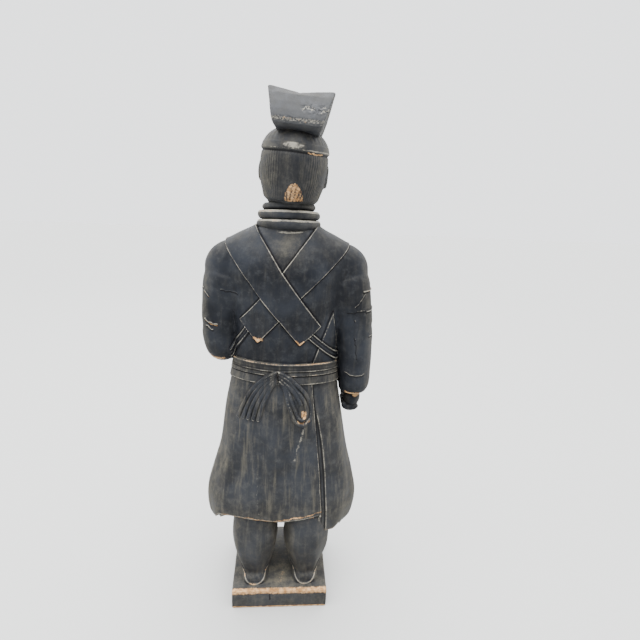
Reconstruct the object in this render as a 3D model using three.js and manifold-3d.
// A terracotta warrior: an officer in a knee-length robe, front armour held by crossed straps, and a
// double-board cap, standing on a square plinth. The figure and its plinth are one fired casting.
// Millimetres, +Z up. The origin is the middle of the plinth's underside. The figure faces -Y, and its
// left hand is towards +X.
import * as THREE from "three";
import { mergeVertices } from "three/addons/utils/BufferGeometryUtils.js";
import Module from "manifold-3d";

const wasm = await Module();
wasm.setup();

// Driving dimensions
const plinthWidth = 179; // side to side
const plinthDepth = 173; // front to back
const plinthHeight = 39;
const plinthEdge = 4; // worn round edge
const figureHeight = 876; // soles to the top of the cap

// The figure below is drawn 876 high, measured up from its soles, and m scales all of it.
const m = figureHeight / 876;

// Colour and finish of the fired clay
const patina = new THREE.MeshStandardMaterial({ color: 0x3f4245, roughness: 0.62, metalness: 0 });

// Solids from three.js geometry

function solid(geometry) {
  const bare = geometry.index ? geometry.toNonIndexed() : geometry.clone();
  bare.deleteAttribute("normal");
  bare.deleteAttribute("uv");
  const merged = mergeVertices(bare, 1e-4);
  return new wasm.Manifold(
    new wasm.Mesh({
      numProp: 3,
      vertProperties: new Float32Array(merged.attributes.position.array),
      triVerts: new Uint32Array(merged.index.array),
    }),
  );
}

function unite(solids) {
  return solids.reduce((all, next) => all.add(next));
}

// Moves every vertex of a geometry by a function of its old place.
function warp(geometry, place) {
  const spots = geometry.attributes.position;
  const old = new THREE.Vector3();
  for (let i = 0; i < spots.count; i++) {
    const now = place(old.fromBufferAttribute(spots, i));
    spots.setXYZ(i, now.x, now.y, now.z);
  }
  return geometry;
}

// A smooth reading of a table of rows, each starting with its height.
function readRows(rows, height) {
  const last = rows.length - 1;
  let i = 0;
  while (i < last - 1 && height > rows[i + 1][0]) i++;
  const span = rows[i + 1][0] - rows[i][0];
  const t = THREE.MathUtils.clamp((height - rows[i][0]) / span, 0, 1);
  const slope = (j, k) => {
    const a = rows[Math.max(j - 1, 0)];
    const b = rows[Math.min(j + 1, last)];
    return ((b[k] - a[k]) / (b[0] - a[0])) * span;
  };
  return rows[i].map((start, k) => {
    const rise = t * t * (3 - 2 * t);
    const leave = t * (1 - t) * (1 - t);
    const arrive = t * t * (t - 1);
    return start + (rows[i + 1][k] - start) * rise + slope(i, k) * leave + slope(i + 1, k) * arrive;
  });
}

// A point on an oval section, squarer than an ellipse. Angle 0 is +X and a quarter turn is the back, +Y.
function ovalPoint(half, back, front, squareness, angle) {
  const shape = (v) => Math.sign(v) * Math.pow(Math.abs(v), 2 / squareness);
  const depth = Math.sin(angle) > 0 ? back : front;
  return new THREE.Vector2(half * shape(Math.cos(angle)), depth * shape(Math.sin(angle)));
}

// An upright form whose rows are [height, half width, depth behind, depth in front].
function upright(rows, { sides, squareness = 2.2, grow = 0, heightAt, ripple, x = 0, y = 0 }) {
  const tube = new THREE.CylinderGeometry(1, 1, 1, sides, rows.length - 1);
  return solid(
    warp(tube, (p) => {
      const reach = Math.min(1, Math.hypot(p.x, p.z));
      const angle = Math.atan2(-p.z, p.x);
      const [level, half, back, front] = rows[Math.round((p.y + 0.5) * (rows.length - 1))];
      const out = grow + (ripple ? ripple(level, angle) : 0);
      const spot = ovalPoint(half + out, back + out, front + out, squareness, angle).multiplyScalar(reach);
      const height = heightAt ? heightAt(level, angle, reach) : level;
      return new THREE.Vector3((x + spot.x) * m, (y + spot.y) * m, height * m);
    }),
  );
}

// A round form along a smooth path whose rows are [x, y, z, radius].
function limb(rows, { sides, steps }) {
  const path = new THREE.CatmullRomCurve3(rows.map(([x, y, z]) => new THREE.Vector3(x, y, z)));
  const radius = rows.map((row, i) => [i, row[3]]);
  const frames = path.computeFrenetFrames(steps);
  const tube = new THREE.CylinderGeometry(1, 1, 1, sides, steps);
  return solid(
    warp(tube, (p) => {
      const t = p.y + 0.5;
      const step = Math.round(t * steps);
      const [, r] = readRows(radius, path.getUtoTmapping(t) * (rows.length - 1));
      const off = frames.normals[step].clone().multiplyScalar(p.x * r);
      off.addScaledVector(frames.binormals[step], -p.z * r);
      return path.getPointAt(t).add(off).multiplyScalar(m);
    }),
  );
}

function ball([x, y, z], [rx, ry, rz], sides = 10, rings = 7) {
  const sphere = new THREE.SphereGeometry(1, sides, rings);
  return solid(sphere.rotateX(Math.PI / 2).scale(rx * m, ry * m, rz * m).translate(x * m, y * m, z * m));
}

// A prism of an outline drawn in x and z as seen from the front, reaching from one y to another.
function slab(outline, fromY, toY) {
  const shape = new THREE.Shape(outline.map(([x, z]) => new THREE.Vector2(x * m, z * m)));
  const prism = new THREE.ExtrudeGeometry(shape, { depth: (toY - fromY) * m, bevelEnabled: false });
  return solid(prism.rotateX(Math.PI / 2).translate(0, toY * m, 0));
}

function mirrorX(rows) {
  return rows.map(([x, ...rest]) => [-x, ...rest]);
}

// Robe and trunk

const robeLow = 86; // the robe's lowest row, before it slides down or up to the hem
const beltHeight = 431;
const neckHeight = 676; // where the neck leaves the scarf
const hemLeft = 111; // heights of the robe's hem at the left, in front and at the right
const hemFront = 62;
const hemRight = 84;
const trunkSquareness = 2.25;

// Rows of one stretch of the trunk, each starting with its share of the way up that stretch
function stretch(low, high, rows) {
  return rows.map(([share, ...sizes]) => [THREE.MathUtils.lerp(low, high, share), ...sizes]);
}

// Places across and up, for outlines that hang from the belt or rise from it
function fromBelt(places) {
  return places.map(([x, up]) => [x, beltHeight + up]);
}

const skirtRows = stretch(robeLow, beltHeight, [
  [0, 122, 64, 76],
  [0.058, 134, 71, 82],
  [0.188, 141, 75, 86],
  [0.319, 135, 75, 84],
  [0.507, 120, 71, 80],
  [0.71, 107, 67, 75],
  [0.884, 97, 63, 71],
]);
const chestRows = stretch(beltHeight, neckHeight, [
  [0, 91, 60, 67],
  [0.143, 89, 61, 66],
  [0.367, 92, 66, 68],
  [0.571, 99, 71, 69],
  [0.714, 107, 69, 63],
  [0.808, 110, 61, 54],
  [0.861, 104, 54, 48],
  [0.914, 82, 48, 44],
  [0.967, 56, 44, 42],
  [1.024, 40, 38, 38],
]);
const trunkRows = [...skirtRows, ...chestRows];
const foldCount = 11;
const foldDepth = 1.8;
const leftTuck = 7; // the robe's left side is drawn in above its hem, which flares

function hemAt(angle) {
  const side = Math.cos(angle) > 0 ? hemLeft : hemRight;
  const end = Math.sin(angle) > 0 ? hemLeft : hemFront;
  return side + (end - side) * Math.pow(Math.abs(Math.sin(angle)), 1.6);
}

// How far a level has gone from the belt, 0, to the hem, 1.
function drop(level) {
  return THREE.MathUtils.clamp((beltHeight - 60 - level) / (beltHeight - 60 - robeLow), 0, 1);
}

// Below the belt the rows slide so that the lowest one follows the hem, and the underside rises inwards.
function robeHeight(level, angle, reach) {
  const hollow = level <= robeLow ? 20 * (1 - reach) : 0;
  return level + (hemAt(angle) - robeLow) * drop(level) ** 2 + hollow;
}

function drapery(level, angle) {
  const down = drop(level);
  const behind = Math.max(0, Math.sin(angle));
  const tuck = leftTuck * Math.max(0, Math.cos(angle)) * (down ** 12 - Math.sin(Math.PI * down));
  return tuck + foldDepth * down * Math.sin(foldCount * angle + 0.8) * (1 - 0.6 * behind);
}

function trunk(grow = 0, sides = 32) {
  const settings = { sides, squareness: trunkSquareness, grow, heightAt: robeHeight, ripple: drapery };
  return upright(trunkRows, settings);
}

// The depth of the trunk's back at a place across and up.
function backDepth(x, z) {
  const [, half, back] = readRows(trunkRows, z);
  const share = Math.min(0.999, Math.abs(x) / half);
  return back * Math.pow(1 - Math.pow(share, trunkSquareness), 1 / trunkSquareness);
}

const panelProud = 3; // how far each overlapping panel stands out
const hemBehind = [
  [160, 136],
  [112, 147],
  [62, 153],
  [11, 148],
  [-30, 157],
  [-72, 163],
];
const flapEdge = fromBelt([
  [-66, -191],
  [-56, -106],
  [-46, -9],
]);
const panelCorner = fromBelt([[130, -9]]);
const frontFlap = fromBelt([
  [36, -31],
  [52, -131],
  [64, -251],
  [70, -401],
  [-170, -401],
  [-112, -31],
]);
const sidePanel = fromBelt([
  [-77, 107],
  [-54, 44],
  [-40, 3],
  [-88, 3],
  [-86, 59],
]);
const innerHemDrop = 10; // the lower layer shows this far below the robe in front
const innerHemRise = 60; // and is cut away behind, above the legs
const innerHemInset = 12;

function robe() {
  const below = [[160, 0], [160, 136], ...hemBehind, [-78, 150], [-80, 0]];
  const body = trunk().subtract(slab(below, 34, 140));
  const backPanel = trunk(panelProud).intersect(slab([...hemBehind, ...flapEdge, ...panelCorner], 20, 140));
  const frontPanel = trunk(panelProud).intersect(slab(frontFlap, -140, -16));
  const side = trunk(1.6).intersect(slab(sidePanel, 20, 140));
  const innerRows = skirtRows.slice(0, 5).map(([z, half, back, front]) => {
    return [z, half - innerHemInset, back - 24, front - innerHemInset];
  });
  const inner = upright(innerRows, {
    sides: 24,
    squareness: trunkSquareness,
    heightAt: (level, angle, reach) => {
      const cutAway = innerHemRise * Math.max(0, Math.sin(angle)) * reach;
      return robeHeight(level, angle, reach) - innerHemDrop + cutAway;
    },
  });
  return unite([body, backPanel, frontPanel, side, inner]);
}

// Arms: the left one is bent with its fist before the waist, and the right one hangs

const shoulder = [86, 1, 601];
const shoulderSize = [52, 40, 47];
const leftArm = [
  [94, 2, 594, 40],
  [101, 4, 571, 41],
  [111, 7, 532, 32.5],
  [113, 10, 509, 30],
  [112, 12, 502, 27.5],
  [114, 11, 490, 29],
  [109, 6, 464, 28],
  [101, -20, 463, 26],
  [96, -40, 467, 28.5],
  [92, -50, 470, 26],
  [86, -70, 475, 28],
  [79, -92, 482, 25],
];
const rightArm = [
  [-94, 2, 594, 40],
  [-102, 4, 571, 42],
  [-115, 6, 535, 33.5],
  [-118, 7, 512, 33],
  [-119, 7, 504, 30.5],
  [-121, 6, 490, 32],
  [-124, 5, 455, 30],
  [-125, 4, 425, 29.5],
  [-126, 2, 400, 29],
  [-125, 0, 388, 26],
  [-125, -1, 378, 25],
];

// A closed hand: a palm, four curled fingers and a thumb over them.
function fist([x, y, z], turn, outward) {
  const parts = [solid(new THREE.SphereGeometry(1, 7, 4).scale(16, 20, 21))];
  for (let i = 0; i < 4; i++) {
    const finger = new THREE.CapsuleGeometry(6.6, 14, 1, 5).rotateZ(Math.PI / 2);
    parts.push(solid(finger.translate(-outward * 3, -15, 14.5 - i * 9.6)));
  }
  const thumb = new THREE.CapsuleGeometry(6.8, 16, 1, 5).rotateX(Math.PI / 2 - 0.5);
  parts.push(solid(thumb.translate(-outward * 10, -9, 20)));
  const place = new THREE.Matrix4().makeRotationFromEuler(turn).scale(new THREE.Vector3(m, m, m));
  place.setPosition(x * m, y * m, z * m);
  return unite(parts).transform(place.toArray());
}

function arms() {
  const left = limb(leftArm, { sides: 11, steps: 14 });
  const right = limb(rightArm, { sides: 11, steps: 11 });
  const leftFist = fist([73, -108, 486], new THREE.Euler(0, 0, 0.2), 1);
  const rightFist = fist([-127, -5, 371], new THREE.Euler(1.45, 0, 0), -1);
  // Clay left between each arm and the trunk
  const leftWeb = slab([[70, 470], [114, 456], [114, 580], [70, 580]], -16, 8);
  const rightWeb = slab([[-70, 396], [-118, 384], [-110, 580], [-70, 580]], -18, 6);
  const shoulders = [shoulder, ...mirrorX([shoulder])].map((place) => ball(place, shoulderSize, 10, 7));
  return [...shoulders, left, right, leftFist, rightFist, leftWeb, rightWeb];
}

// Legs in full trousers, and square-toed shoes

const stance = 48; // from the middle of the figure to the middle of each foot
const heelBack = 70;
const toeFront = -74;
const trouserRows = [
  [3, 22, 30, 26],
  [14, 24, 30, 27],
  [28, 31, 34, 32],
  [52, 40, 40, 40],
  [80, 43, 43, 46],
  [110, 42, 42, 46],
  [150, 36, 36, 42],
];

function leg(side) {
  const trouser = upright(trouserRows, { sides: 13, x: side * (stance + 1), y: 32 });
  const box = new THREE.BoxGeometry(1, 1, 1, 4, 6, 1);
  const shoe = warp(box, (p) => {
    const along = p.y + 0.5;
    const half = 25 - 4 * along ** 4;
    const rise = 13 + 12 * Math.exp(-(((along - 0.36) / 0.2) ** 2));
    const crown = 1 - 1.2 * p.x ** 2;
    const height = p.z > 0.4 ? rise * crown : THREE.MathUtils.lerp(-2, rise * 0.5, p.z + 0.5);
    const round = along > 0.9 ? 10 * (2 * p.x) ** 2 : 0;
    const y = THREE.MathUtils.lerp(toeFront, heelBack, along) - round;
    return new THREE.Vector3((side * stance + 2 * p.x * half) * m, y * m, height * m);
  });
  return trouser.add(solid(shoe));
}

// Belt, with its bow at the back

const beltDip = 17; // the belt's middle at the sides, below beltHeight
const beltRise = 18; // higher than that behind, and lower in front
const beltRows = [
  [-19, 1],
  [-17.5, 5],
  [-4, 5],
  [-2.5, 3.5],
  [-1, 5.5],
  [5, 5],
  [7, 6],
  [9, 4.5],
  [15.5, 4.5],
  [17, 5.5],
  [19, 1],
];

function belt() {
  const rows = beltRows.map(([offset, proud]) => {
    const middle = beltHeight - beltDip + offset;
    const half = readRows(trunkRows, middle)[1];
    const back = readRows(trunkRows, middle + beltRise)[2];
    const front = readRows(trunkRows, middle - beltRise)[3];
    return [middle, half + proud, back + proud, front + proud];
  });
  const heightAt = (level, angle, reach) => level + beltRise * Math.sin(angle) * reach;
  return upright(rows, { sides: 24, squareness: trunkSquareness, heightAt });
}

const [knot] = fromBelt([[14, 3]]);
const tailOuter = [knot, ...fromBelt([[38, -5], [54, -20], [61, -38], [66, -54], [77, -74]])];
const tailInner = [knot, ...fromBelt([[25, -13], [33, -29], [40, -48], [47, -67], [53, -83]])];
const cordSunk = 1.2; // the cords are bedded this deep in the robe's panel
const [loopEye] = fromBelt([[-33, -65]]); // the loop's turns lie round this place
const loopOutline = fromBelt([
  [-5, 1],
  [-20, -11],
  [-32, -26],
  [-42, -48],
  [-45, -67],
  [-40, -84],
  [-33, -88],
  [-25, -80],
  [-14, -62],
  [-6, -40],
  [-1, -19],
]);

// A cord laid on the back of the robe through places across and up.
function cord(places, radius, steps) {
  const rows = places.map(([x, z]) => [x, backDepth(x, z) + panelProud - cordSunk, z, radius]);
  return limb(rows, { sides: 4, steps });
}

function between([x, z], [toX, toZ], share) {
  return [THREE.MathUtils.lerp(x, toX, share), THREE.MathUtils.lerp(z, toZ, share)];
}

function bow() {
  const made = [ball([knot[0], backDepth(...knot) + 5, knot[1] - 1], [11, 8, 9], 7, 5)];
  const strands = 4;
  for (let i = 0; i < strands; i++) {
    made.push(cord(tailOuter.map((spot, j) => between(spot, tailInner[j], i / (strands - 1))), 4.6, 5));
  }
  for (const size of [1, 0.5]) {
    const places = loopOutline.map((spot) => between(loopEye, spot, size));
    made.push(cord([knot, ...places, knot], 4.4, 10));
  }
  return made;
}

// Crossed straps on the back that carry the front armour, and the lacings that run from them to the belt

const strapProud = 2.6;
const strapOver = [
  [101, 642],
  [43, 565],
  [-22, 484],
  [-56, 517],
  [9, 606],
  [47, 664],
  [62, 678],
  [104, 668],
];
const strapUnder = [
  [-103, 646],
  [-21, 566],
  [46, 486],
  [76, 523],
  [9, 606],
  [-38, 666],
  [-60, 678],
  [-106, 664],
];
const frontStrap = [
  [104, 668],
  [101, 636],
  [66, 575],
  [30, 590],
  [40, 640],
  [56, 680],
];
const lacingLeft = fromBelt([
  [58, 77],
  [66, 84],
  [101, 24],
  [92, 16],
]);
const lacingRight = fromBelt([
  [-31, 70],
  [-38, 78],
  [-98, 20],
  [-91, 10],
]);

function straps() {
  const over = trunk(strapProud + 2, 24).intersect(slab(strapOver, -2, 140));
  const under = trunk(strapProud, 24).intersect(slab(strapUnder, -2, 140));
  const lacings = [lacingLeft, lacingRight].map((outline) => {
    return trunk(strapProud + 1.4, 24).intersect(slab(outline, 0, 140));
  });
  const fronts = [frontStrap, mirrorX(frontStrap)].map((outline) => {
    return trunk(strapProud, 24).intersect(slab(outline, -140, 0));
  });
  return [over, under, ...lacings, ...fronts];
}

// Front armour: rows of plates that overlap like tiles, each row standing out a little at its foot

const armourTop = 612;
const armourBottom = 348;
const armourRows = 11;
const armourHalfTop = 62;
const armourHalfLow = 76;
const plateTop = 4; // how far each row of plates stands out at its top and at its foot
const plateFoot = 8;

function armour() {
  const tall = (armourTop - armourBottom) / armourRows;
  const rows = [];
  for (let i = 0; i < armourRows; i++) {
    const top = armourTop - i * tall;
    const low = top - tall;
    const last = Math.max(0, i - (armourRows - 4));
    const half = THREE.MathUtils.lerp(armourHalfTop, armourHalfLow, i / armourRows) - 9 * last ** 1.5;
    const foot = readRows(trunkRows, low).slice(1).map((size) => size + plateFoot);
    const brow = readRows(trunkRows, top).slice(1).map((size) => size + plateTop);
    const ends = [[low, ...foot], [top + 1, ...brow]];
    const shell = upright(ends, { sides: 24, squareness: trunkSquareness });
    const width = [[-half, low - 1], [half, low - 1], [half, top + 2], [-half, top + 2]];
    rows.push(shell.intersect(slab(width, -140, -12)));
  }
  return rows;
}

// Scarf wound three times round the neck

const scarfTilt = 0.12; // lower in front
const scarfRings = [
  { rise: -2, out: 52, tall: 8 },
  { rise: 13, out: 50, tall: 7.5 },
  { rise: 26, out: 43, tall: 6 },
];

function scarf() {
  const rows = scarfRings.flatMap(({ rise, out, tall }) => [
    [rise - tall, out - 6],
    [rise - tall / 2, out - 1],
    [rise + tall / 2, out],
    [rise + tall * 0.95, out - 5],
  ]);
  const sized = rows.map(([rise, out]) => [neckHeight + rise, out, out - 2, out]);
  const heightAt = (level, angle, reach) => level + scarfTilt * 45 * Math.sin(angle) * reach;
  const wound = upright(sized, { sides: 20, heightAt });
  const tail = [[-20, -4], [20, -4], [15, -36], [0, -54], [-15, -36]];
  const outline = tail.map(([x, rise]) => [x, neckHeight + rise]);
  const tuck = trunk(9, 24).intersect(slab(outline, -140, -10));
  return [wound, tuck];
}

// Head, in its own frame: the origin is where the neck leaves the scarf

const headTilt = THREE.MathUtils.degToRad(-4); // towards its right shoulder
const headTurn = THREE.MathUtils.degToRad(-7); // face towards its right
const headRows = [
  [4, 34, 36, 30],
  [22, 38, 42, 36],
  [38, 43, 50, 47],
  [52, 47, 56, 53],
  [67, 51, 61, 57],
  [90, 53, 64, 59],
  [112, 51, 62, 58],
  [128, 45, 56, 52],
  [140, 32, 43, 40],
  [147, 10, 16, 14],
];
const braidRows = [
  [0, 46, 26, 12],
  [0, 56, 50, 14],
  [0, 61, 80, 15],
  [0, 55, 116, 15],
];
const bandHeight = 112;
const hairDepth = 1.1;
const hairLocks = 14;

// Combed locks behind and at the sides, and a smooth face in front
function hair(level, angle) {
  const behind = THREE.MathUtils.smoothstep(Math.sin(angle), -0.1, 0.25);
  return hairDepth * behind * Math.cos(hairLocks * angle);
}

const bridge = [
  [0, -54, 92, 4],
  [0, -61, 80, 5],
  [0, -68, 70, 7.5],
  [0, -64, 64, 7],
  [0, -54, 62, 5],
];

function face() {
  const made = [limb(bridge, { sides: 5, steps: 5 }), ball([0, -45, 36], [18, 15, 13], 7, 5)];
  made.push(ball([0, -58.5, 53.5], [13.5, 6, 3.4], 7, 4), ball([0, -57, 48.5], [10.5, 6, 3.4], 7, 4));
  for (const s of [1, -1]) {
    const brow = [[s * 5, -57, 92, 4], [s * 20, -56, 96, 5], [s * 42, -36, 88, 4]];
    const whisker = [[0, -60, 58.5, 3], [s * 13, -58.5, 57.5, 3.6], [s * 25, -49, 55, 2]];
    made.push(limb(brow, { sides: 4, steps: 4 }), limb(whisker, { sides: 4, steps: 3 }));
    made.push(ball([s * 8, -60, 67], [5, 6, 5], 5, 4)); // side of the nose
    made.push(ball([s * 18.5, -51.5, 84], [10.5, 7.5, 5.2], 7, 4)); // eyelid
    made.push(ball([s * 26, -38, 65], [18, 17, 19], 7, 5)); // cheek
    made.push(ball([s * 52, -2, 80], [6, 11, 18], 6, 5)); // ear
  }
  return made;
}

// The cap: a board that climbs from the forehead to the back, folds over there and tucks in below
const capSide = [
  [-54, 116],
  [-52, 128],
  [-28, 139],
  [2, 158],
  [38, 194],
  [47, 196.5],
  [58, 177],
  [66, 158],
  [64, 150],
  [52, 142],
  [40, 132],
  [0, 118],
];
const capHalf = [
  [112, 21],
  [132, 29],
  [144, 37],
  [158, 42.5],
  [178, 45.5],
  [197, 50.5],
];
const capShift = -5; // towards its right
const capNotch = 6.6; // depth of the dip between the two boards
const capNotchPlace = 0.05;

function cap() {
  const shape = new THREE.Shape(capSide.map(([y, z]) => new THREE.Vector2(y, z)));
  const board = new THREE.ExtrudeGeometry(shape, { depth: 2, steps: 5, bevelEnabled: false });
  return solid(
    warp(board.rotateX(Math.PI / 2).rotateZ(Math.PI / 2), (p) => {
      const across = p.x - 1;
      const [, half] = readRows(capHalf, p.z);
      const side = across - capNotchPlace;
      const away = Math.abs(side) / (1 - Math.sign(side) * capNotchPlace);
      const dip = p.z > 190 ? capNotch * (1 - away) : 0;
      return new THREE.Vector3((capShift + across * half) * m, p.y * m, (p.z - dip) * m);
    }),
  );
}

function head() {
  const skull = upright(headRows, { sides: 2 * hairLocks, squareness: 2.15, ripple: hair });
  const bandRows = headRows.filter(([z]) => z >= bandHeight);
  const band = upright(bandRows, { sides: 20, squareness: 2.15, grow: 2.6 });
  const braid = limb(braidRows, { sides: 6, steps: 4 });
  const made = unite([skull, band, braid, ...face(), cap()]);
  const place = new THREE.Matrix4().makeRotationFromEuler(new THREE.Euler(0, headTilt, headTurn, "ZYX"));
  place.setPosition(0, 0, neckHeight * m);
  return made.transform(place.toArray());
}

// Plinth

function plinth() {
  const halfWidth = plinthWidth / 2 - plinthEdge;
  const halfDepth = plinthDepth / 2 - plinthEdge;
  const corners = [[-1, -1], [1, -1], [1, 1], [-1, 1]].map(([x, y]) => {
    return new THREE.Vector2(x * halfWidth, y * halfDepth);
  });
  const shape = new THREE.Shape(corners);
  const block = new THREE.ExtrudeGeometry(shape, {
    depth: plinthHeight - 2 * plinthEdge,
    bevelThickness: plinthEdge,
    bevelSize: plinthEdge,
    bevelSegments: 2,
  });
  return solid(block.translate(0, 0, plinthEdge));
}

function warrior() {
  const dress = [robe(), belt(), ...bow(), ...straps(), ...armour(), ...scarf()];
  const figure = unite([...dress, leg(1), leg(-1), ...arms(), head()]);
  const { vertProperties, triVerts } = figure.translate(0, 0, plinthHeight).add(plinth()).getMesh();
  const geometry = new THREE.BufferGeometry();
  geometry.setAttribute("position", new THREE.BufferAttribute(vertProperties, 3));
  geometry.setIndex(new THREE.BufferAttribute(triVerts, 1));
  geometry.computeVertexNormals();
  const mesh = new THREE.Mesh(geometry, patina);
  mesh.name = "terracotta_warrior";
  return mesh;
}

const statue = new THREE.Group();
statue.add(warrior());

export default statue;
